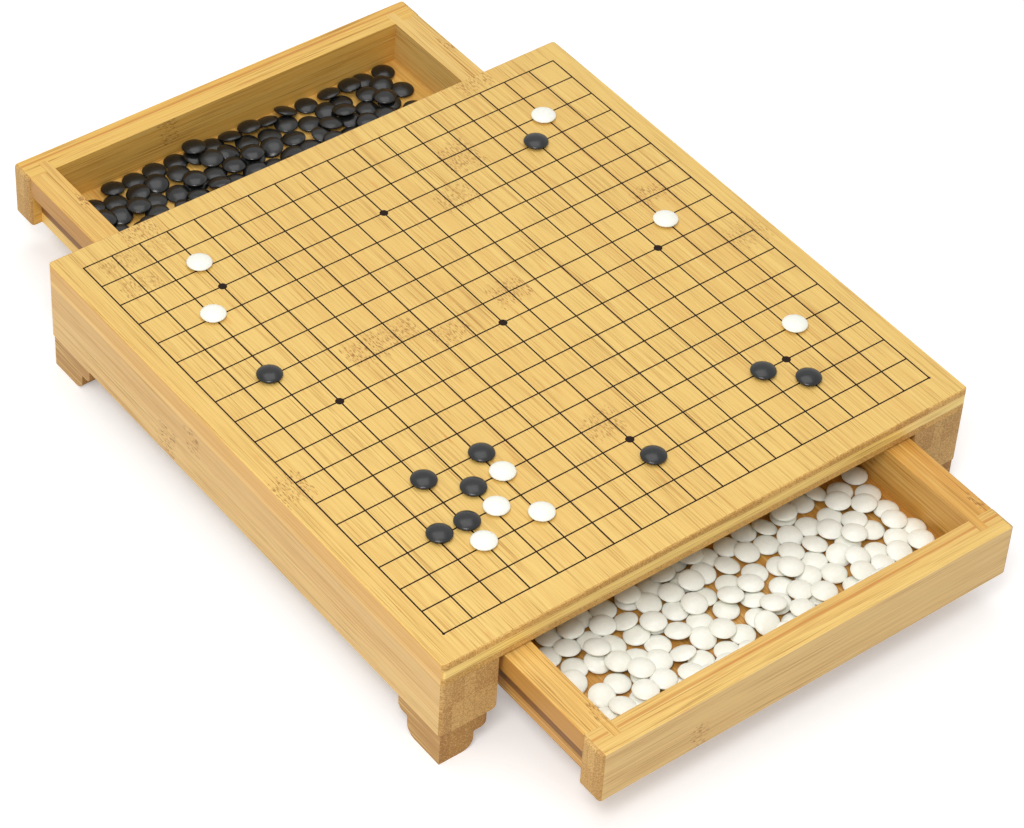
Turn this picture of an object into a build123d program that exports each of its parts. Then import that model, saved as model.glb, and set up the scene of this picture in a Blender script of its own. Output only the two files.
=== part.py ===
"""Go board with two stone drawers.

A laminated bamboo playing slab sits on two long rails with a stepped bracket foot under
each end.  Two drawers hang between the rails, one opening at the front edge and one at the
rear edge.  Each drawer side is rebated along its lower half; the shoulder of the rebate
rides on a runner strip fixed to the rail, so the drawer has nothing under it.  The sides
meet the front in a lock joint: the inner third of each side runs on as a tongue into a dado.

X runs across the board, Y from the front edge to the rear edge, Z up.  The origin is on the
table, under the middle of the whole object with both drawers pulled out.  Millimetres.
"""
import math
import os
import random

import numpy as np
from build123d import *

# playing grid
LINES = 19
PITCH_X = 24.0
PITCH_Y = 24.3
MARGIN_LEFT = 17.8
MARGIN_RIGHT = 16.2
MARGIN_FRONT = 23.7
MARGIN_REAR = 19.9

# playing slab
SLAB_T = 20.0
SLAB_CORNER_R = 3.0
SLAB_EDGE_R = 1.2

# rails and the bay between them
RAIL_W = 47.0
RAIL_H = 50.0
RAIL_EDGE_R = 4.0
STRETCHER_T = 22.0
STRETCHER_H = 46.0

# bracket feet: an upper fascia, a step in, and a lower block with a round inner corner
FOOT_H = 30.0
FOOT_INSET = 1.5
FOOT_W = 39.0
FOOT_L = 47.0
FASCIA_H = 14.0
FOOT_STEP = 10.5
FASCIA_R = 5.0
STEP_R = 1.5
FOOT_TOE_R = 9.5

# drawer boxes
DRAWER_L = 228.0
FRONT_T = 22.0
FRONT_H = 46.5
FRONT_EDGE_R = 1.2
FRONT_END_R = 3.5
FRONT_END_GAP = 3.0
SLAB_GAP = 1.5
SIDE_T = 22.0
SIDE_INSET = 1.8
SIDE_EDGE_R = 1.0
HEAD_H = 17.5
REBATE = 8.0
BOTTOM_T = 10.0
BACK_T = 14.0
BACK_DROP = 2.0
TONGUE_T = 7.4
TONGUE_L = 12.4

# runner strips
RUNNER_H = 10.0
RUNNER_CLEAR = 2.0
RUN_GAP = 0.3
WEB_GAP = 0.8

# how far each drawer stands open
FRONT_OPEN = 106.6
REAR_OPEN = 130.6

# stones: a small flat seat, a lens with its rim under half way up, and a small crown
STONE_D = 19.2
STONE_H = 5.6
STONE_RIM_Z = 2.4
STONE_SEAT_D = 10.0
STONE_CROWN_D = 5.6
TRAY_STONE_SIDES = 7
TRAY_STONE_CROWN_D = 9.6
BOARD_STONE_SIDES = 10

# stones lying in the drawers: staggered rows closer than a stone is wide, so that each leans
# on the next, and a few more on top; each slides and leans a little to lie lower
HEAP_GAP = 0.2
WALL_GAP = 0.3
HEAP_PITCH = 17.5
ROW_STEP = 15.2
STRAY = 0.8
WHITE_ROWS = 7
WHITE_ON_TOP = 12
BLACK_ROWS = 5
BLACK_ON_TOP = 7
BLACK_BARE = 12.0
BLACK_CORNER = 55.0
TRIES = 7
MOVES = 34
MOST_LEAN = 0.45

# how near to a plane an edge's middle lies when it is on it
NEAR = 0.1

# worked out from the sizes above
BOARD_W = (LINES - 1) * PITCH_X + MARGIN_LEFT + MARGIN_RIGHT
BOARD_L = (LINES - 1) * PITCH_Y + MARGIN_FRONT + MARGIN_REAR
RAIL_Z = FOOT_H
SLAB_Z = RAIL_Z + RAIL_H
TOP_Z = SLAB_Z + SLAB_T
BAY_HALF = BOARD_W / 2 - RAIL_W
BOARD_Y = (FRONT_OPEN - REAR_OPEN) / 2
DRAWER_TOP = SLAB_Z - SLAB_GAP
FRONT_Z = DRAWER_TOP - FRONT_H
FLOOR_Z = FRONT_Z + BOTTOM_T
SHOULDER_Z = DRAWER_TOP - HEAD_H
FRONT_HALF = BAY_HALF - FRONT_END_GAP
SIDE_OUT = FRONT_HALF - SIDE_INSET
SIDE_IN = SIDE_OUT - SIDE_T
WEB_OUT = SIDE_OUT - REBATE
GRID_X = MARGIN_LEFT - BOARD_W / 2
GRID_Y = BOARD_Y - BOARD_L / 2 + MARGIN_FRONT

# stones standing on the board: column and row from the front left crossing, then how far
# the hand left each one off that crossing
WHITE_STONES = [
    (16, 16, -1.2, -2.5), (16, 10, -0.3, -3.9), (16, 4, 4.0, -0.9), (3, 16, -0.6, 4.7),
    (2, 14, 0.7, 1.7), (5, 4, 2.4, -0.7), (4, 3, 2.5, -0.7), (5, 2, 0.7, 1.7), (3, 2, -0.3, 2.3)]
BLACK_STONES = [
    (15, 15, -1.0, 0.4), (14, 3, 0.9, -1.4), (15, 2, -0.6, -0.6), (2, 11, -2.0, 0.0),
    (9, 2, 2.2, 0.9), (5, 5, 1.5, -2.1), (3, 5, 1.0, -0.5), (4, 4, 0.9, -1.1),
    (3, 3, 1.7, -0.4), (2, 3, 3.2, 0.7)]

# a tray stone's outline as rings, and points all over it
RINGS = [(STONE_SEAT_D / 2, 0.0), (STONE_D / 2, STONE_RIM_Z), (TRAY_STONE_CROWN_D / 2, STONE_H)]
RING_R, RING_Z = np.array(RINGS).T
HALF_WAY = [((a[0] + b[0]) / 2, (a[1] + b[1]) / 2) for a, b in zip(RINGS, RINGS[1:])]
SKIN = np.array([(r * math.cos(math.radians(t)), r * math.sin(math.radians(t)), z)
                 for r, z in RINGS + HALF_WAY + [(0.0, 0.0), (0.0, STONE_H)]
                 for t in range(0, 360, 18)])


def block(x0, x1, y0, y1, z0, z1):
    """A rectangular board between two corners."""
    return Pos((x0 + x1) / 2, (y0 + y1) / 2, (z0 + z1) / 2) * Box(x1 - x0, y1 - y0, z1 - z0)


def long_edges(solid, axis):
    """The edges of a board that run along one axis."""
    return solid.edges().filter_by(axis)


def playing_board():
    """The slab, with its upright corners and its top arris rounded."""
    half_w, half_l = BOARD_W / 2, BOARD_L / 2
    slab = block(-half_w, half_w, BOARD_Y - half_l, BOARD_Y + half_l, SLAB_Z, TOP_Z)
    slab = fillet(long_edges(slab, Axis.Z), SLAB_CORNER_R)
    rims = slab.faces().sort_by(Axis.Z)[-1].edges()
    return fillet(rims, SLAB_EDGE_R)


def rail(side):
    """A rail flush with the slab's edge and ends; side is -1 for left and +1 for right."""
    half_l = BOARD_L / 2
    x_out, x_in = side * BOARD_W / 2, side * BAY_HALF
    bar = block(min(x_in, x_out), max(x_in, x_out), BOARD_Y - half_l, BOARD_Y + half_l,
                RAIL_Z, SLAB_Z)
    outer = [e for e in long_edges(bar, Axis.Z) if abs(e.center().X - x_out) < NEAR]
    bar = fillet(outer, SLAB_CORNER_R)
    inner_foot = [e for e in long_edges(bar, Axis.Y)
                  if abs(e.center().X - x_in) < NEAR and e.center().Z < RAIL_Z + NEAR]
    return fillet(inner_foot, RAIL_EDGE_R)


def foot_profile(width):
    """The bracket's outline seen from one side, its outer face on the left."""
    outline = Polyline(
        (0, 0), (width, 0), (width, -FASCIA_H), (width - FOOT_STEP, -FASCIA_H),
        (width - FOOT_STEP, -FOOT_H), (0, -FOOT_H), close=True)
    face = make_face(outline)
    for (x, z), radius in (((width, -FASCIA_H), FASCIA_R),
                           ((width - FOOT_STEP, -FASCIA_H), STEP_R),
                           ((width - FOOT_STEP, -FOOT_H), FOOT_TOE_R)):
        corner = face.vertices().sort_by_distance((x, z, 0))[0]
        face = fillet(corner, radius)
    return face


def foot(side, end):
    """A bracket foot, stepped on both inner faces: one outline along X, the other along Y."""
    across = extrude(Plane.XZ * foot_profile(FOOT_W), -FOOT_L)
    along = extrude(Plane.YZ * foot_profile(FOOT_L), FOOT_W)
    bracket = across & along
    if side > 0:
        bracket = mirror(bracket, Plane.YZ)
    if end > 0:
        bracket = mirror(bracket, Plane.XZ)
    x_out = side * (BOARD_W / 2 - FOOT_INSET)
    y_out = BOARD_Y + end * (BOARD_L / 2 - FOOT_INSET)
    return Pos(x_out, y_out, FOOT_H) * bracket


def centre_stretcher():
    """The cross rail that ties the rails and stops both drawers."""
    half_t = STRETCHER_T / 2
    return block(-BAY_HALF, BAY_HALF, BOARD_Y - half_t, BOARD_Y + half_t,
                 SLAB_Z - STRETCHER_H, SLAB_Z)


def runner(side, end):
    """The strip under a drawer side's shoulder, clear of the closed drawer's front."""
    x_out, x_in = side * BAY_HALF, side * (WEB_OUT + WEB_GAP)
    y_mid = BOARD_Y + end * STRETCHER_T / 2
    y_end = BOARD_Y + end * (BOARD_L / 2 - FRONT_T - RUNNER_CLEAR)
    top = SHOULDER_Z - RUN_GAP
    return block(min(x_in, x_out), max(x_in, x_out), min(y_mid, y_end), max(y_mid, y_end),
                 top - RUNNER_H, top)


def drawer_place(end):
    """Outer face of a drawer's front, and the direction into the drawer, as it stands."""
    opening = FRONT_OPEN if end < 0 else REAR_OPEN
    return BOARD_Y + end * (BOARD_L / 2 + opening), -end


def deep(end, a, b):
    """Two depths behind a drawer's outer face, as a low and a high Y."""
    y, inward = drawer_place(end)
    return sorted((y + inward * a, y + inward * b))


def drawer_front(end):
    """The thick front, with a stopped dado near each end for the side's tongue."""
    y0, y1 = deep(end, 0, FRONT_T)
    board = block(-FRONT_HALF, FRONT_HALF, y0, y1, FRONT_Z, DRAWER_TOP)
    for side in (-1, 1):
        tip = [e for e in board.edges() if abs(e.center().X - side * FRONT_HALF) < NEAR]
        board = fillet(tip, FRONT_END_R)
    face_y = drawer_place(end)[0]
    arrises = [e for e in long_edges(board, Axis.X) if abs(e.center().Y - face_y) < NEAR]
    board = fillet(arrises, FRONT_EDGE_R)
    d0, d1 = deep(end, FRONT_T - TONGUE_L, FRONT_T)
    for side in (-1, 1):
        xs = sorted((side * SIDE_IN, side * (SIDE_IN + TONGUE_T)))
        board -= block(xs[0], xs[1], d0, d1, FLOOR_Z, DRAWER_TOP)
    return board


def drawer_side(end, side):
    """A side: wide head, narrower web below the shoulder, and the tongue at the front."""
    y0, y1 = deep(end, FRONT_T, DRAWER_L)
    section = Polyline(
        (SIDE_IN, DRAWER_TOP), (SIDE_OUT, DRAWER_TOP), (SIDE_OUT, SHOULDER_Z),
        (WEB_OUT, SHOULDER_Z), (WEB_OUT, FLOOR_Z), (SIDE_IN, FLOOR_Z), close=True)
    bar = extrude(Plane.XZ * make_face(section), -(y1 - y0))
    bar = Pos(0, y0, 0) * bar
    outer = [e for e in long_edges(bar, Axis.Y)
             if abs(e.center().X - SIDE_OUT) < NEAR]
    bar = fillet(outer, SIDE_EDGE_R)
    t0, t1 = deep(end, FRONT_T - TONGUE_L, FRONT_T)
    bar += block(SIDE_IN, SIDE_IN + TONGUE_T, t0, t1, FLOOR_Z, DRAWER_TOP)
    return bar if side > 0 else mirror(bar, Plane.YZ)


def drawer_back(end):
    """The back board, let in between the sides."""
    y0, y1 = deep(end, DRAWER_L - BACK_T, DRAWER_L)
    return block(-SIDE_IN, SIDE_IN, y0, y1, FLOOR_Z, DRAWER_TOP - BACK_DROP)


def drawer_bottom(end):
    """The bottom panel, under the sides and the back, flush with the front's lower edge."""
    y0, y1 = deep(end, FRONT_T, DRAWER_L)
    return block(-WEB_OUT, WEB_OUT, y0, y1, FRONT_Z, FLOOR_Z)


def stone_solid(sides, rings):
    """A many-sided stone through (radius, height) rings, every face flat."""
    turns = [2 * math.pi * k / sides for k in range(sides)]
    loops = [[(r * math.cos(t), r * math.sin(t), z) for t in turns] for r, z in rings]
    outlines = [loops[0], loops[-1]]
    for low, high in zip(loops, loops[1:]):
        for k in range(sides):
            n = (k + 1) % sides
            outlines.append([low[k], low[n], high[n], high[k]])
    return Solid(Shell([Face(Wire.make_polygon(points)) for points in outlines]))


def board_stone():
    """A stone with its dome in two bands, for the few that stand in the open."""
    middle = (STONE_D + STONE_CROWN_D) / 4
    dome_h = STONE_H - STONE_RIM_Z
    dome_r = ((STONE_D / 2) ** 2 + dome_h ** 2) / (2 * dome_h)
    dome_z = STONE_H - dome_r + math.sqrt(dome_r ** 2 - middle ** 2)
    return stone_solid(BOARD_STONE_SIDES, [
        RINGS[0], RINGS[1], (middle, dome_z), (STONE_CROWN_D / 2, STONE_H)])


def board_stones(moves):
    """Stones standing on the crossings, each a little off its point as a hand leaves it."""
    stone = board_stone()
    placed = []
    for column, row, off_x, off_y in moves:
        x = GRID_X + column * PITCH_X + off_x
        y = GRID_Y + row * PITCH_Y + off_y
        placed.append(Pos(x, y, TOP_Z) * stone)
    return Compound(children=placed)


def skin_of(axis):
    """The points on a stone that has its seat at the origin and leans to that upward axis."""
    side = np.array([axis[2], 0.0, -axis[0]])
    side /= np.linalg.norm(side)
    return SKIN[:, :1] * side + SKIN[:, 1:2] * np.cross(axis, side) + SKIN[:, 2:] * axis


def touching(points, seats, axes):
    """Whether any of the points lies in any of the stones, or nearer than the gap."""
    away = points - seats
    up = (away * axes).sum(-1)
    out = np.sqrt(np.maximum((away * away).sum(-1) - up * up, 0))
    level = (up > -HEAP_GAP) & (up < STONE_H + HEAP_GAP)
    return bool((level & (out < np.interp(up, RING_Z, RING_R) + HEAP_GAP)).any())


def reach(axis, k):
    """How far a leaning stone reaches down and up one axis from its seat."""
    lean = math.sqrt(max(0.0, 1 - axis[k] ** 2))
    return min(RING_Z * axis[k] - RING_R * lean), max(RING_Z * axis[k] + RING_R * lean)


def resting_height(x, y, axis, heap):
    """The height of a stone's seat when it is let down at a place and comes to rest."""
    low = FLOOR_Z - reach(axis, 2)[0]
    seats = np.array([seat for seat, _, _ in heap]).reshape(-1, 3)
    near = (abs(seats[:, :2] - (x, y)) < STONE_D + HEAP_GAP * 2).all(1)
    around = [heap[k] for k in np.flatnonzero(near)]
    if not around:
        return low
    seats, axes, skins = (np.array(column) for column in zip(*around))
    mine = skin_of(axis)

    def blocked(z):
        at = np.array((x, y, z))
        return (touching((mine + at)[None], seats[:, None], axes[:, None])
                or touching(skins, at, axis))

    if not blocked(low):
        return low
    high = seats[:, 2].max() + STONE_D
    for _ in range(10):
        middle = (low + high) / 2
        low, high = (middle, high) if blocked(middle) else (low, middle)
    return high


def staggered(end, rows, bare, corner):
    """Places in staggered rows from a drawer's front, its left front corner left out."""
    edge = STONE_D / 2 + WALL_GAP
    face, inward = drawer_place(end)
    count = round((2 * (SIDE_IN - edge) - bare) / HEAP_PITCH)
    step = (2 * (SIDE_IN - edge) - bare) / count
    sites = []
    for row in range(rows):
        for k in range(count + 1 - row % 2):
            in_x, in_y = edge + step * (k + row % 2 / 2), edge + ROW_STEP * row
            if in_x + 2 * in_y > corner:
                sites.append((in_x - SIDE_IN, face + inward * (FRONT_T + in_y)))
    return sites


def settled_heap(dice, sites, on_top, walls):
    """Stones let fall one after another, each sliding and leaning to where it lies lowest."""
    heap = []

    def lie(x, y, lean_x, lean_y):
        axis = np.array((lean_x, lean_y, 1.0))
        axis /= np.linalg.norm(axis)
        for (low, high), spot, k in ((walls[0], x, 0), (walls[1], y, 1)):
            down, up = reach(axis, k)
            if spot + down < low or spot + up > high:
                return None
        z = resting_height(x, y, axis, heap)
        return z + axis[2] * STONE_H / 2, np.array((x, y, z)), axis

    def near(site):
        return site[0] + dice.gauss(0, STRAY), site[1] + dice.gauss(0, STRAY)

    order = dice.sample(sites, len(sites))
    for site in order + [None] * on_top:
        falls = []
        while not falls:
            drops = [near(site)] if site else [near(s) for s in dice.sample(sites, TRIES)]
            falls = [fall for fall in (lie(x, y, 0, 0) for x, y in drops) if fall]
        best = min(falls, key=lambda fall: fall[0])
        lean = (0.0, 0.0)
        for move in range(MOVES):
            if best[1][2] - FLOOR_Z < HEAP_GAP / 4 and lean == (0.0, 0.0):
                break
            wide = STONE_D / 14 * (1 - move / MOVES) + STONE_D / 32
            spot = [best[1][k] + dice.gauss(0, wide) for k in range(2)]
            tried = tuple(v + dice.gauss(0, 0.1) for v in lean)
            if move % 6 == 5:
                spot, tried = best[1][:2], (0.0, 0.0)
            fall = lie(*spot, *tried) if math.hypot(*tried) < MOST_LEAN else None
            if fall and fall[0] < best[0]:
                best, lean = fall, tried
        heap.append((best[1], best[2], skin_of(best[2]) + best[1]))
    return [(seat, axis) for seat, axis, _ in heap]


def heap(end, seed, rows, on_top, bare=0.0, corner=0.0):
    """The stones that lie in a drawer, row behind row from its front."""
    stone = stone_solid(TRAY_STONE_SIDES, RINGS)
    y_front, y_back = deep(end, FRONT_T, DRAWER_L - BACK_T)
    half = SIDE_IN - WALL_GAP
    walls = ((-half, half), (y_front + WALL_GAP, y_back - WALL_GAP))
    sites = staggered(end, rows, bare, corner)
    placed = []
    for n, (seat, axis) in enumerate(settled_heap(random.Random(seed), sites, on_top, walls)):
        tilt = math.degrees(math.acos(min(1.0, axis[2])))
        turn = math.degrees(math.atan2(axis[1], axis[0])) if tilt > 0 else 41.0 * n
        placed.append(Pos(*seat) * Rot(0, 0, turn) * Rot(0, tilt, 0) * stone)
    return Compound(children=placed)


def build():
    """Every piece by its name."""
    parts = {
        "playing_board": playing_board(),
        "rail_left": rail(-1),
        "rail_right": rail(1),
        "centre_stretcher": centre_stretcher(),
        "white_stones_on_board": board_stones(WHITE_STONES),
        "black_stones_on_board": board_stones(BLACK_STONES),
        "white_stones_in_drawer": heap(-1, 11, WHITE_ROWS, WHITE_ON_TOP),
        "black_stones_in_drawer": heap(1, 23, BLACK_ROWS, BLACK_ON_TOP, BLACK_BARE,
                                       BLACK_CORNER),
    }
    for end, place in ((-1, "front"), (1, "rear")):
        parts[f"{place}_drawer_front"] = drawer_front(end)
        parts[f"{place}_drawer_back"] = drawer_back(end)
        parts[f"{place}_drawer_bottom"] = drawer_bottom(end)
        for side, hand in ((-1, "left"), (1, "right")):
            parts[f"foot_{place}_{hand}"] = foot(side, end)
            parts[f"runner_{place}_{hand}"] = runner(side, end)
            parts[f"{place}_drawer_side_{hand}"] = drawer_side(end, side)
    return parts


os.makedirs("parts", exist_ok=True)
for name, shape in build().items():
    export_step(shape, f"parts/{name}.step")
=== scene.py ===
"""The looks of a go board with two stone drawers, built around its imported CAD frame."""

import math

import bpy
import numpy as np
from mathutils import Matrix, Vector


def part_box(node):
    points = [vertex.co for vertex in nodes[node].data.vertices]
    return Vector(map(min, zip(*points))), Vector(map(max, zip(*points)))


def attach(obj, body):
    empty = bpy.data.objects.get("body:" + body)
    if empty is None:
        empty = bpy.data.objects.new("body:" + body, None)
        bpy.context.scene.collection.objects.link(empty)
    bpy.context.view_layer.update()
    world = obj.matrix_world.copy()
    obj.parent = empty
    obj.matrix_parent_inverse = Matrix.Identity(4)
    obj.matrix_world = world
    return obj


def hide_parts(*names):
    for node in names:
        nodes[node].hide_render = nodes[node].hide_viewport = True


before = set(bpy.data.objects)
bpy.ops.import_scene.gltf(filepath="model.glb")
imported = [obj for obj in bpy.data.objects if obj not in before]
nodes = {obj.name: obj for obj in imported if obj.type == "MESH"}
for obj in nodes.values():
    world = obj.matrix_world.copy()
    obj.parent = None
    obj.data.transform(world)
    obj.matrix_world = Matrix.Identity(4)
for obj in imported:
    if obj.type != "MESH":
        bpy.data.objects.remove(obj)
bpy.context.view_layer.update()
MM = 0.001

# the board's sizes in millimetres, as in the part's source
LINES = 19
PITCH_X, PITCH_Y = 24.0, 24.3
MARGIN_LEFT, MARGIN_FRONT = 17.8, 23.7
BOARD_LO, BOARD_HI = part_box("playing_board")
TOP = BOARD_HI.z
GRID_X = BOARD_LO.x + MARGIN_LEFT * MM
GRID_Y = BOARD_LO.y + MARGIN_FRONT * MM
STRIP_W = 30.9
FIRST_STRIP = 26.4


def linear(r, g, b):
    """A screen colour, 0 to 255, as the linear colour that shaders take."""
    out = [((c / 255 + 0.055) / 1.055) ** 2.4 if c > 10 else c / 255 / 12.92 for c in (r, g, b)]
    return (*out, 1.0)


# ---------------------------------------------------------------- node building

class Graph:
    """Short ways to add and join shader nodes."""

    def __init__(self, name):
        self.material = bpy.data.materials.new(name)
        self.material.use_nodes = True
        self.tree = self.material.node_tree
        self.shader = self.tree.nodes["Principled BSDF"]

    def add(self, kind, **settings):
        node = self.tree.nodes.new(kind)
        for key, value in settings.items():
            setattr(node, key, value)
        return node

    def feed(self, socket, value):
        if isinstance(value, bpy.types.NodeSocket):
            self.tree.links.new(value, socket)
        else:
            socket.default_value = value

    def math(self, operation, a, b=0.0, clamp=False):
        node = self.add("ShaderNodeMath", operation=operation, use_clamp=clamp)
        self.feed(node.inputs[0], a)
        self.feed(node.inputs[1], b)
        return node.outputs[0]

    def times(self, a, b):
        return self.math("MULTIPLY", a, b)

    def plus(self, a, b):
        return self.math("ADD", a, b)

    def blend(self, share, a, b):
        """Mixes two colours."""
        node = self.add("ShaderNodeMix", data_type="RGBA")
        self.feed(node.inputs["Factor"], share)
        self.feed(node.inputs[6], a)
        self.feed(node.inputs[7], b)
        return node.outputs[2]

    def between(self, share, a, b):
        """Mixes two numbers."""
        node = self.add("ShaderNodeMix", data_type="FLOAT")
        self.feed(node.inputs[0], share)
        self.feed(node.inputs[2], a)
        self.feed(node.inputs[3], b)
        return node.outputs[0]

    def ramp(self, value, low, high, out_low=0.0, out_high=1.0):
        node = self.add("ShaderNodeMapRange", interpolation_type="SMOOTHSTEP")
        self.feed(node.inputs[0], value)
        for socket, number in zip(node.inputs[1:5], (low, high, out_low, out_high)):
            socket.default_value = number
        return node.outputs[0]

    def join(self, x, y, z):
        node = self.add("ShaderNodeCombineXYZ")
        for socket, value in zip(node.inputs, (x, y, z)):
            self.feed(socket, value)
        return node.outputs[0]

    def split(self, vector):
        node = self.add("ShaderNodeSeparateXYZ")
        self.feed(node.inputs[0], vector)
        return node.outputs

    def noise(self, vector, scale=1.0, detail=2.0, rough=0.55):
        node = self.add("ShaderNodeTexNoise")
        self.feed(node.inputs["Vector"], vector)
        node.inputs["Scale"].default_value = scale
        node.inputs["Detail"].default_value = detail
        node.inputs["Roughness"].default_value = rough
        return node.outputs[0]

    def dice(self, vector):
        """Three random numbers that depend on a vector."""
        node = self.add("ShaderNodeTexWhiteNoise")
        self.feed(node.inputs["Vector"], vector)
        return self.split(node.outputs["Color"])

    def place(self):
        """The point on the piece, in millimetres, and its face's direction."""
        at = self.add("ShaderNodeTexCoord")
        scaled = self.add("ShaderNodeVectorMath", operation="SCALE")
        self.feed(scaled.inputs[0], at.outputs["Object"])
        scaled.inputs["Scale"].default_value = 1000.0
        return scaled.outputs[0], at.outputs["Normal"]

    def bump(self, height, strength, distance):
        node = self.add("ShaderNodeBump")
        node.inputs["Strength"].default_value = strength
        node.inputs["Distance"].default_value = distance
        self.feed(node.inputs["Height"], height)
        self.feed(self.shader.inputs["Normal"], node.outputs[0])

    def finish(self, colour, roughness, specular=0.5):
        self.feed(self.shader.inputs["Base Color"], colour)
        self.feed(self.shader.inputs["Roughness"], roughness)
        self.shader.inputs["Specular IOR Level"].default_value = specular
        return self.material


# ---------------------------------------------------------------- bamboo

def bamboo(name, grain, cell, start, seed, pale=(253, 217, 126), deep=(243, 200, 112),
           line=(160, 112, 44), fibre=1.0, knots=0.3, period=310.0, marks=(), ply=None, bands=(),
           shade_and_stain=None, veins=(), end_pale=(212, 170, 102), end_deep=(184, 138, 76)):
    """Laminated bamboo: strips of one cell's size, fibres along the grain, knuckles, end grain.

    cell is a strip's width across and its height, start where the first strip begins, marks
    the knuckles at known places, ply the heights between which the ends show grain that runs
    across, bands the heights between which the flanks are tinted, how strongly and with what,
    shade_and_stain the side whose outer flank gets painted shade and the height below which the
    painted shade is deeper, partly standing for the wood's own darker streaks, and veins the
    rusty lines."""
    g = Graph(name)
    point, facing = g.place()
    x, y, z = g.split(point)
    nx, ny, _ = g.split(facing)
    along, across = (y, x) if grain == "Y" else (x, y)
    ends, flanks = (ny, nx) if grain == "Y" else (nx, ny)
    ends, flanks = g.ramp(g.math("ABSOLUTE", ends), 0.15, 0.35), g.math("ABSOLUTE", flanks)
    if ply:
        inner = g.times(g.math("GREATER_THAN", z, ply[0]), g.math("LESS_THAN", z, ply[1]))
        inner = g.times(inner, g.math("GREATER_THAN", ends, 0.5))
        along, across = g.between(inner, along, across), g.between(inner, across, along)
        ends = g.times(ends, g.math("SUBTRACT", 1.0, inner))

    # which strip this is, and its own random tone, shift and knuckles
    in_row = g.math("DIVIDE", g.math("SUBTRACT", across, start[0]), cell[0])
    in_pile = g.math("DIVIDE", g.math("SUBTRACT", z, start[1] - 0.02), cell[1])
    row, pile = g.math("FLOOR", in_row), g.math("FLOOR", in_pile)
    tone, shift, chance = g.dice(g.join(row, pile, seed))
    slid = g.plus(along, g.times(shift, 900.0))

    def along_grain(fine, long, detail=2, rough=0.55):
        return g.noise(g.join(g.times(across, fine), g.times(z, fine), g.times(slid, long)),
                       1, detail, rough)

    # fibres: broad streaks, long thin dark lines that come and go, and pale ones between them
    streak = along_grain(0.22, 0.003)
    crowd = along_grain(0.09, 0.009)
    thin = along_grain(0.8, 0.009, 2, 0.6)
    thread = along_grain(1.5, 0.02, 1)
    share = g.math("ADD", g.times(tone, 0.55), g.ramp(streak, 0.35, 0.65, -0.25, 0.4), clamp=True)
    colour = g.blend(share, linear(*pale), linear(*deep))
    crowded = g.ramp(crowd, 0.35, 0.62, 0.45, 1.0)
    dark = g.times(crowded, g.plus(g.ramp(thin, 0.54, 0.62, 0.0, 0.46 * fibre),
                                   g.ramp(thread, 0.52, 0.62, 0.0, 0.34 * fibre)))
    colour = g.blend(g.ramp(thin, 0.46, 0.34, 0.0, 0.4), colour, linear(255, 230, 148))
    colour = g.blend(dark, colour, linear(*line))
    patchy = along_grain(0.16, 0.022)
    rust = g.times(g.ramp(patchy, 0.66, 0.74), g.ramp(thin, 0.3, 0.6, 0.35, 1.0))
    colour = g.blend(g.times(rust, 0.42), colour, linear(226, 150, 66))
    for low, high, force, tint in bands:
        in_band = g.times(g.ramp(z, low - 0.5, low + 0.5), g.ramp(z, high + 0.5, high - 0.5))
        in_band = g.times(in_band, g.ramp(flanks, 0.5, 0.8, 0.0, force))
        colour = g.blend(in_band, colour, linear(*tint))
    for vein_across, half, force in veins:
        middle = g.plus(vein_across, g.times(crowd, 2.0))
        gap = g.math("ABSOLUTE", g.math("SUBTRACT", across, middle))
        vein = g.times(g.ramp(gap, half, half * 0.3), g.ramp(streak, 0.3, 0.55, 0.3, force))
        colour = g.blend(vein, colour, linear(206, 130, 48))
    # painted shade: a drawer side's outer flank is darkened, and darker still below the head where
    # the web lies under the shoulder; the band partly stands for the wood's own darker streaks
    if shade_and_stain:
        side, height = shade_and_stain
        outer_flank_shade = g.ramp(g.times(nx, side), 0.5, 0.8, 0.0, 0.8)
        colour = g.blend(outer_flank_shade, colour, linear(196, 138, 60))
        web_shade = g.times(outer_flank_shade, g.ramp(z, height + 1.0, height - 1.0))
        colour = g.blend(web_shade, colour, linear(110, 62, 12))

    # knuckles: a ragged patch across one strip, full of short dark dashes
    rag = g.ramp(g.noise(g.join(g.times(across, 0.4), g.times(z, 0.4), g.times(slid, 0.05)), 1, 2),
                 0.25, 0.75, -6.0, 6.0)
    turn = g.math("FRACT", g.math("DIVIDE", slid, period))
    away = g.times(g.math("ABSOLUTE", g.math("SUBTRACT", turn, 0.5)), period)
    patch = g.times(g.ramp(g.plus(away, rag), 9.0, 5.0), g.math("LESS_THAN", chance, knots))
    for mark_across, mark_along, half, force, *height in marks:
        here = g.math("COMPARE", row, math.floor((mark_across - start[0]) / cell[0]))
        here.node.inputs[2].default_value = 0.5
        gap = g.math("ABSOLUTE", g.math("SUBTRACT", along, mark_along))
        spot = g.ramp(g.plus(gap, rag), half + 3.0, half - 3.0, 0.0, force)
        if not height:
            spot = g.times(spot, g.ramp(flanks, 0.7, 0.4))
        for z_mark in height:
            level = g.math("COMPARE", pile, math.floor((z_mark - start[1]) / cell[1]))
            level.node.inputs[2].default_value = 0.5
            spot = g.times(spot, level)
        patch = g.math("MAXIMUM", patch, g.times(here, spot))
    dash = g.noise(g.join(g.times(across, 1.05), g.times(z, 1.05), g.times(along, 0.24)), 1, 1)
    dashes = g.times(patch, g.ramp(dash, 0.53, 0.6))
    colour = g.blend(g.times(patch, 0.16), colour, linear(232, 176, 92))
    colour = g.blend(g.times(dashes, 0.75), colour, linear(136, 92, 32))
    pale_gaps = g.times(patch, g.ramp(dash, 0.42, 0.36, 0.0, 0.5))
    colour = g.blend(pale_gaps, colour, linear(255, 226, 140))

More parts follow.
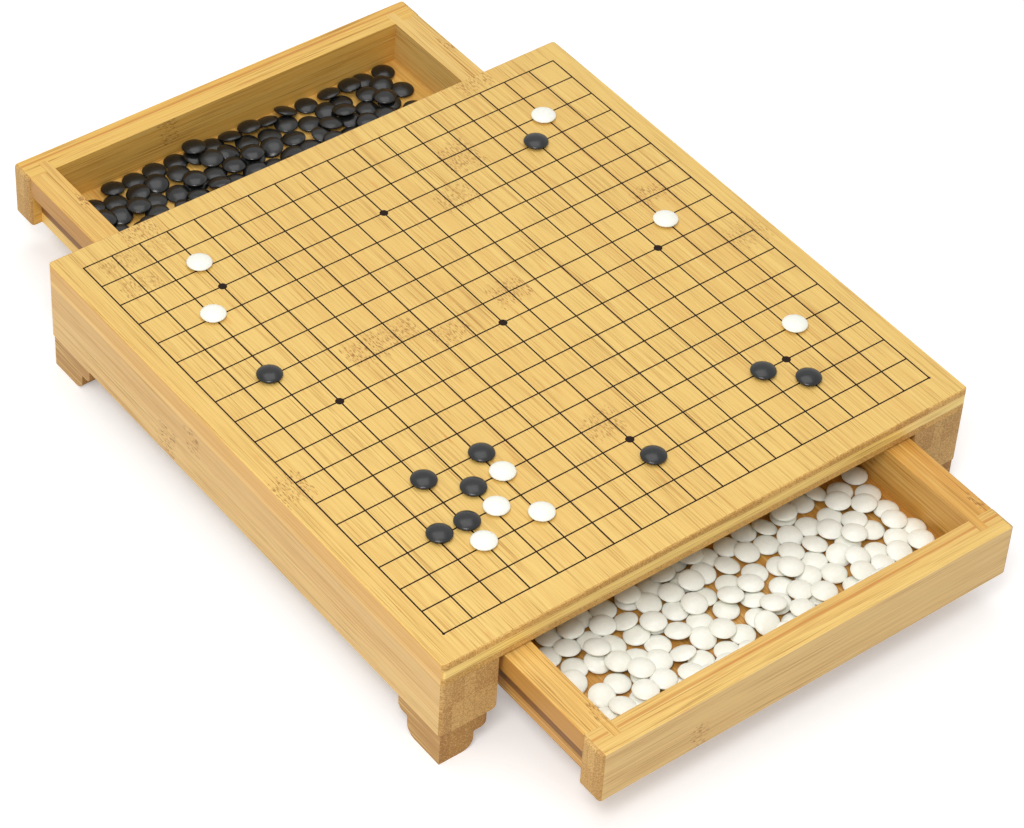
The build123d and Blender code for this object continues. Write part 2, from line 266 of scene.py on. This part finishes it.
    # end grain: speckled fibre ends on a browner ground
    speck = g.noise(g.join(g.times(across, 0.95), g.times(z, 0.95), g.times(along, 0.05)),
                    1, 2, 0.7)
    ground = g.blend(tone, linear(*end_pale), linear(*end_deep))
    cut = g.blend(g.ramp(speck, 0.5, 0.62, 0.0, 0.42), ground, linear(122, 82, 32))
    cut = g.blend(g.ramp(speck, 0.44, 0.36, 0.0, 0.45), cut, linear(240, 206, 140))
    colour = g.blend(ends, colour, cut)

    # the glue lines between strips
    seam_a = g.math("PINGPONG", in_row, 0.5)
    seam_b = g.math("PINGPONG", in_pile, 0.5)
    seam = g.math("MINIMUM", g.times(seam_a, cell[0]), g.times(seam_b, cell[1]))
    colour = g.blend(g.ramp(seam, 0.32, 0.1, 0.0, 0.34), colour, linear(160, 106, 42))

    relief = g.math("SUBTRACT", 1.0, g.plus(dark, g.times(dashes, 0.5)))
    relief = g.plus(relief, g.times(g.times(speck, ends), -0.8))
    g.bump(relief, 0.25, 0.00025)
    gloss = g.plus(g.plus(0.42, g.times(dark, 0.3)), g.times(ends, 0.2))
    return g.finish(colour, gloss, 0.4)


# the slab's knuckles: where across and along, half their length, and how strong
KNUCKLES = [(-159.7, 221, 9, 0.9), (-159.7, 200, 9, 0.45), (-191, 199, 9, 0.7), (-191, 171, 8, 0.8),
            (-98.7, 22, 11, 1.0), (-67.3, 24, 10, 0.9), (-36.7, 2.5, 10, 0.8), (24.4, 14, 11, 0.9),
            (55.8, 121, 11, 0.8), (86.4, 157, 15, 0.9), (146.5, 221, 8, 0.9), (177.9, 40, 8, 0.9),
            (208.5, -35, 12, 0.7), (-219.8, -62, 12, 0.9), (-6.3, -134, 12, 0.8)]
TAN, EDGE_TAN = (222, 172, 104), (214, 160, 84)

# the woodwork's sizes in millimetres: rail, drawer front and side, and the bamboo strips in them
RAIL_W, FRONT_T, HEAD_H = 47.0, 22.0, 17.5
BOARD_STRIP, BOARD_PILE = 7.34, 23.3
SIDE_IN, SIDE_OUT = 159.2, 181.2
left, right = BOARD_LO.x / MM, BOARD_HI.x / MM
foot_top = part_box("foot_front_left")[1].z / MM
drawer_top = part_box("front_drawer_front")[1].z / MM

woods = {
    "playing_board": bamboo("bamboo_slab", "Y", (STRIP_W, 6.7), (left + FIRST_STRIP, 80.0), 3.0,
                            pale=(255, 221, 129), deep=(247, 206, 117), knots=0.0,
                            marks=KNUCKLES, ply=(85.8, 94.4),
                            bands=((79.0, 84.5, 0.6, TAN), (84.5, 101.0, 0.75, EDGE_TAN)),
                            end_pale=(226, 178, 98), end_deep=(198, 150, 76)),
    # painted shade: the front drawer's floor is darker than the rear one's, standing for the shade
    # in the gaps between the stones
    "front_bottom": bamboo("bamboo_front_floor", "Y", (STRIP_W, 10.0), (left, 32.0), 11.0,
                           pale=(214, 160, 80), deep=(196, 140, 62)),
    "rear_bottom": bamboo("bamboo_rear_floor", "Y", (STRIP_W, 10.0), (left, 32.0), 11.0,
                          pale=(244, 200, 108), deep=(228, 176, 84)),
    "stretcher": bamboo("bamboo_stretcher", "X", (7.33, 23.0), (-23.0, 34.0), 17.0),
}
for side, edge, knots, marks in (
        ("left", left, 0.0, ((left, 42.0, 7, 0.9, 68.0), (left, 74.5, 9, 0.9, 42.0))),
        ("right", right - RAIL_W, 0.3, ())):
    woods[f"rail_{side}"] = bamboo(f"bamboo_rail_{side}", "Y", (9.4, 27.0), (edge, foot_top), 5.0,
                                   pale=(255, 222, 146), deep=(250, 208, 132), fibre=0.85,
                                   knots=knots, marks=marks, bands=((57.0, 81.0, 0.3, TAN),))
    woods[f"foot_{side}"] = bamboo(f"bamboo_foot_{side}", "Y", (9.4, 30.0), (edge, 0.0), 9.0,
                                   pale=(188, 142, 72), deep=(174, 124, 60),
                                   end_pale=(184, 137, 72), end_deep=(158, 110, 50))
# painted light and shade: each drawer side has its own tone, lighter or darker by how light falls
# on it
SIDE_SHADE_TONES = {("front", "left"): ((255, 214, 122), (246, 194, 98)),
              ("front", "right"): ((240, 190, 96), (224, 163, 72)),
              ("rear", "left"): ((255, 216, 124), (246, 196, 102)),
              ("rear", "right"): ((255, 222, 136), (250, 206, 116))}
for end in ("front", "rear"):
    lo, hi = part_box(f"{end}_drawer_front")
    outer = lo.y / MM if end == "front" else hi.y / MM - FRONT_T
    looks = {"veins": ((outer + 14.0, 1.6, 0.75),)}
    if end == "front":
        looks.update(knots=0.0, marks=((outer + 1.0, -98.5, 6, 0.9, 45.0),),
                     bands=((30.0, 80.0, 0.25, (240, 214, 168)),))
    else:
        looks.update(pale=(255, 212, 110), deep=(250, 198, 94))
    woods[f"{end}_front"] = bamboo(f"bamboo_{end}_drawer_front", "X", (BOARD_STRIP, BOARD_PILE),
                                   (outer, drawer_top - 2 * BOARD_PILE), 21.0, **looks)
    for side, sign, edge in (("left", -1, -SIDE_OUT), ("right", 1, SIDE_IN)):
        pale, deep = SIDE_SHADE_TONES[end, side]
        # each side gets painted shade on its outer flank, deeper below the head, partly the wood's
        # darker streaks
        woods[f"{end}_side_{side}"] = bamboo(
            f"bamboo_{end}_side_{side}", "Y", (BOARD_STRIP, BOARD_PILE),
            (edge, drawer_top - 2 * BOARD_PILE), 27.0,
            pale=pale, deep=deep, fibre=1.2, shade_and_stain=(sign, drawer_top - HEAD_H))

for name, node in nodes.items():
    if name == "playing_board":
        wood = woods["playing_board"]
    elif name.startswith("rail_"):
        wood = woods[name]
    elif name.startswith("foot_"):
        wood = woods["foot_" + name.split("_")[-1]]
    elif name.startswith("runner_"):
        wood = woods["rail_" + name.split("_")[-1]]
    elif name.endswith("_bottom"):
        wood = woods[name.split("_")[0] + "_bottom"]
    elif "_side_" in name:
        end, _, _, side = name.split("_")
        wood = woods[f"{end}_side_{side}"]
    elif name.endswith("_front") or name.endswith("_back"):
        wood = woods[name.split("_")[0] + "_front"]
    else:
        wood = woods["stretcher"]
    for slot in node.material_slots:
        slot.link = "OBJECT"
        slot.material = wood


# ---------------------------------------------------------------- the printed grid

def ink():
    g = Graph("grid_ink")
    point, _ = g.place()
    worn = g.noise(point, 1.4, 3, 0.6)
    colour = g.blend(g.ramp(worn, 0.35, 0.75), linear(22, 10, 6), linear(46, 26, 14))
    g.bump(worn, 0.1, 0.00002)
    return g.finish(colour, g.ramp(worn, 0.3, 0.7, 0.6, 0.8), 0.15)


def plate(points, low, high):
    """A thin upright-sided plate over an outline, as vertices and faces."""
    n = len(points)
    verts = [(x, y, low) for x, y in points] + [(x, y, high) for x, y in points]
    faces = [tuple(reversed(range(n))), tuple(range(n, 2 * n))]
    faces += [(k, (k + 1) % n, n + (k + 1) % n, n + k) for k in range(n)]
    return verts, faces


def piece(name, parts, material, body):
    """One mesh object from several lists of vertices and faces, riding on a body."""
    verts, faces = [], []
    for part_verts, part_faces in parts:
        base = len(verts)
        verts += [tuple(v) for v in part_verts]
        faces += [tuple(base + k for k in f) for f in part_faces]
    mesh = bpy.data.meshes.new(name)
    mesh.from_pydata(verts, [], faces)
    mesh.update()
    made = bpy.data.objects.new(name, mesh)
    bpy.context.scene.collection.objects.link(made)
    mesh.materials.append(material)
    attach(made, body)
    return made


def bar(x0, x1, y0, y1, low, high):
    return plate([(x0, y0), (x1, y0), (x1, y1), (x0, y1)], low, high)


def disc(x, y, radius, low, high, sides=40):
    turns = [2 * math.pi * k / sides for k in range(sides)]
    return plate([(x + radius * math.cos(t), y + radius * math.sin(t)) for t in turns], low, high)


LINE_W, INK = 1.2 * MM, 0.04 * MM
STAR_R, CORNER_R = 3.3 * MM, 1.1 * MM
STAR_LINES = (3, 9, 15)
x_last, y_last = GRID_X + (LINES - 1) * PITCH_X * MM, GRID_Y + (LINES - 1) * PITCH_Y * MM
half = LINE_W / 2
strips = []
for k in range(LINES):
    x, y = GRID_X + k * PITCH_X * MM, GRID_Y + k * PITCH_Y * MM
    strips.append(bar(x - half, x + half, GRID_Y - half, y_last + half, TOP - INK, TOP + INK))
    strips.append(bar(GRID_X - half, x_last + half, y - half, y + half, TOP - INK, TOP + INK * 0.9))
for i in STAR_LINES:
    for j in STAR_LINES:
        strips.append(disc(GRID_X + i * PITCH_X * MM, GRID_Y + j * PITCH_Y * MM, STAR_R,
                           TOP - INK, TOP + INK * 1.2))
for x in (GRID_X, x_last):
    strips.append(disc(x, GRID_Y, CORNER_R, TOP - INK, TOP + INK * 1.2))
piece("grid_lines_and_star_points", strips, ink(), "root")


# ---------------------------------------------------------------- stones

# a stone's outline as (radius, height) in millimetres, and its number of sides
STONE_SIDES = 36
STONE = [(0, 0), (4.2, 0.0), (5.7, 0.22), (7.3, 0.86), (8.6, 1.5), (9.35, 2.05), (9.6, 2.5),
         (9.42, 2.94), (8.8, 3.44), (7.8, 4.02), (6.6, 4.55), (5.2, 5.02), (3.6, 5.37),
         (1.85, 5.55), (0, 5.6)]


def lathe(profile, sides):
    """A turned solid in metres from (radius, height) in millimetres, first and last on the axis."""
    rings = profile[1:-1]
    verts = [(0, 0, profile[0][1] * MM), (0, 0, profile[-1][1] * MM)]
    for r, z in rings:
        for k in range(sides):
            t = 2 * math.pi * k / sides
            verts.append((r * MM * math.cos(t), r * MM * math.sin(t), z * MM))
    faces = []
    last = 2 + (len(rings) - 1) * sides
    for k in range(sides):
        n = (k + 1) % sides
        faces.append((0, 2 + n, 2 + k))
        faces.append((1, last + k, last + n))
        for r in range(len(rings) - 1):
            a, b = 2 + r * sides, 2 + (r + 1) * sides
            faces.append((a + k, a + n, b + n, b + k))
    return verts, faces


def stone_places(node):
    """Where each stone of a CAD node stands: the middle of its seat, and its upward axis."""
    mesh = node.data
    co = np.array([v.co for v in mesh.vertices])
    keys, index = np.unique(np.round(co, 6), axis=0, return_inverse=True)
    index = index.ravel()
    head = list(range(len(keys)))

    def root(k):
        while head[k] != k:
            head[k] = head[head[k]]
            k = head[k]
        return k

    for face in mesh.polygons:
        ids = [root(index[v]) for v in face.vertices]
        for other in ids[1:]:
            head[root(other)] = root(ids[0])
    groups = {}
    for k in range(len(keys)):
        groups.setdefault(root(k), []).append(k)
    places = []
    for members in groups.values():
        points = keys[members]
        middle = points.mean(0)
        axis = np.linalg.svd(points - middle)[2][2]
        axis = axis if axis[2] > 0 else -axis
        low = ((points - middle) @ axis).min()
        places.append((middle + axis * low, axis))
    return places


def stones(name, node, material, body):
    verts, faces = lathe(STONE, STONE_SIDES)
    verts = np.array(verts)
    parts = []
    for seat, axis in stone_places(nodes[node]):
        turn = np.array(Vector((0, 0, 1)).rotation_difference(Vector(axis)).to_matrix())
        parts.append(((verts @ turn.T + seat).tolist(), faces))
    made = piece(name, parts, material, body)
    made.data.polygons.foreach_set("use_smooth", [True] * len(made.data.polygons))
    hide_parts(node)
    return made


def stone_glass(name, pale, deep, rough, specular, mottle):
    g = Graph(name)
    point, _ = g.place()
    own = g.add("ShaderNodeNewGeometry").outputs["Random Per Island"]
    haze = g.noise(point, 0.35, 2)
    grit = g.noise(point, 2.2, 3, 0.65)
    share = g.math("ADD", g.times(own, 0.6), g.ramp(haze, 0.3, 0.7, -0.1, 0.4), clamp=True)
    colour = g.blend(share, linear(*pale), linear(*deep))
    g.bump(grit, mottle, 0.00006)
    gloss = g.plus(g.ramp(grit, 0.3, 0.7, rough, rough + 0.1), g.times(own, 0.06))
    return g.finish(colour, gloss, specular)


white = stone_glass("white_stone_glass", (243, 244, 235), (236, 236, 224), 0.22, 0.5, 0.05)
black = stone_glass("black_stone_glass", (17, 18, 19), (28, 29, 28), 0.18, 0.45, 0.12)
stones("white_stones_standing", "white_stones_on_board", white, "root")
stones("black_stones_standing", "black_stones_on_board", black, "root")
stones("white_stones_lying", "white_stones_in_drawer", white, "front_drawer")
stones("black_stones_lying", "black_stones_in_drawer", black, "rear_drawer")


# ---------------------------------------------------------------- floor, light and camera

def unseen(tree):
    """1 for rays that show the background: straight from the camera, or by gloss or glass."""
    path = tree.nodes.new("ShaderNodeLightPath")
    found = path.outputs["Is Camera Ray"]
    for name in ("Is Glossy Ray", "Is Transmission Ray"):
        both = tree.nodes.new("ShaderNodeMath")
        both.operation = "MAXIMUM"
        tree.links.new(found, both.inputs[0])
        tree.links.new(path.outputs[name], both.inputs[1])
        found = both.outputs[0]
    return found


floor_mesh = bpy.data.meshes.new("floor")
floor_mesh.from_pydata([(-9, -9, 0), (9, -9, 0), (9, 9, 0), (-9, 9, 0)], [], [(0, 1, 2, 3)])
floor = bpy.data.objects.new("floor", floor_mesh)
bpy.context.scene.collection.objects.link(floor)
g = Graph("floor_paper")
g.shader.inputs["Base Color"].default_value = (0.82, 0.81, 0.81, 1)
g.shader.inputs["Roughness"].default_value = 0.9
g.shader.inputs["Specular IOR Level"].default_value = 0.1
g.shader.inputs["Emission Color"].default_value = (1, 1, 1, 1)
g.feed(g.shader.inputs["Emission Strength"], g.times(unseen(g.tree), 0.3))
floor_mesh.materials.append(g.material)

world = bpy.data.worlds.new("studio")
bpy.context.scene.world = world
world.use_nodes = True
air = world.node_tree.nodes["Background"]
air.inputs["Color"].default_value = (1, 1, 1, 1)
level = world.node_tree.nodes.new("ShaderNodeMapRange")
world.node_tree.links.new(unseen(world.node_tree), level.inputs[0])
level.inputs[3].default_value, level.inputs[4].default_value = 0.56, 1.0
world.node_tree.links.new(level.outputs[0], air.inputs["Strength"])


def softbox(name, place, aim, width, height, power):
    lamp = bpy.data.lights.new(name, "AREA")
    lamp.shape = "RECTANGLE"
    lamp.size, lamp.size_y, lamp.energy = width, height, power
    made = bpy.data.objects.new(name, lamp)
    bpy.context.scene.collection.objects.link(made)
    made.location = place
    made.rotation_euler = (Vector(aim) - Vector(place)).to_track_quat("-Z", "Y").to_euler()
    made.visible_camera = False


softbox("key", (-1.05, -0.9, 1.9), (0, 0, 0.05), 0.8, 0.66, 20.5)
softbox("overhead", (0.2, 0.5, 2.9), (0, 0, 0), 2.2, 2.2, 28.0)
softbox("fill", (-2.6, -0.2, 0.45), (0, 0, 0.06), 1.6, 0.7, 4.5)

scene = bpy.context.scene
scene.view_settings.view_transform = "Standard"
WIDTH_PX, SENSOR = 1024, 36.0
FOCAL_PX, AZIMUTH, ELEVATION, ROLL = 3576.5, 40.09, 43.85, -3.82
EYE = Vector((-1.21453, -1.47070, 1.83495))
az, el, roll = (math.radians(v) for v in (AZIMUTH, ELEVATION, ROLL))
ahead = Vector((math.cos(el) * math.sin(az), math.cos(el) * math.cos(az), -math.sin(el)))
across = Vector((math.cos(az), -math.sin(az), 0))
down = ahead.cross(across)
screen_x = math.cos(roll) * across + math.sin(roll) * down
screen_y = math.cos(roll) * down - math.sin(roll) * across
camera_data = bpy.data.cameras.new("camera")
camera_data.sensor_width = SENSOR
camera_data.lens = FOCAL_PX / WIDTH_PX * SENSOR
camera = bpy.data.objects.new("camera", camera_data)
scene.collection.objects.link(camera)
axes = Matrix((screen_x, -screen_y, -ahead)).transposed()
camera.matrix_world = Matrix.Translation(EYE) @ axes.to_4x4()
scene.camera = camera
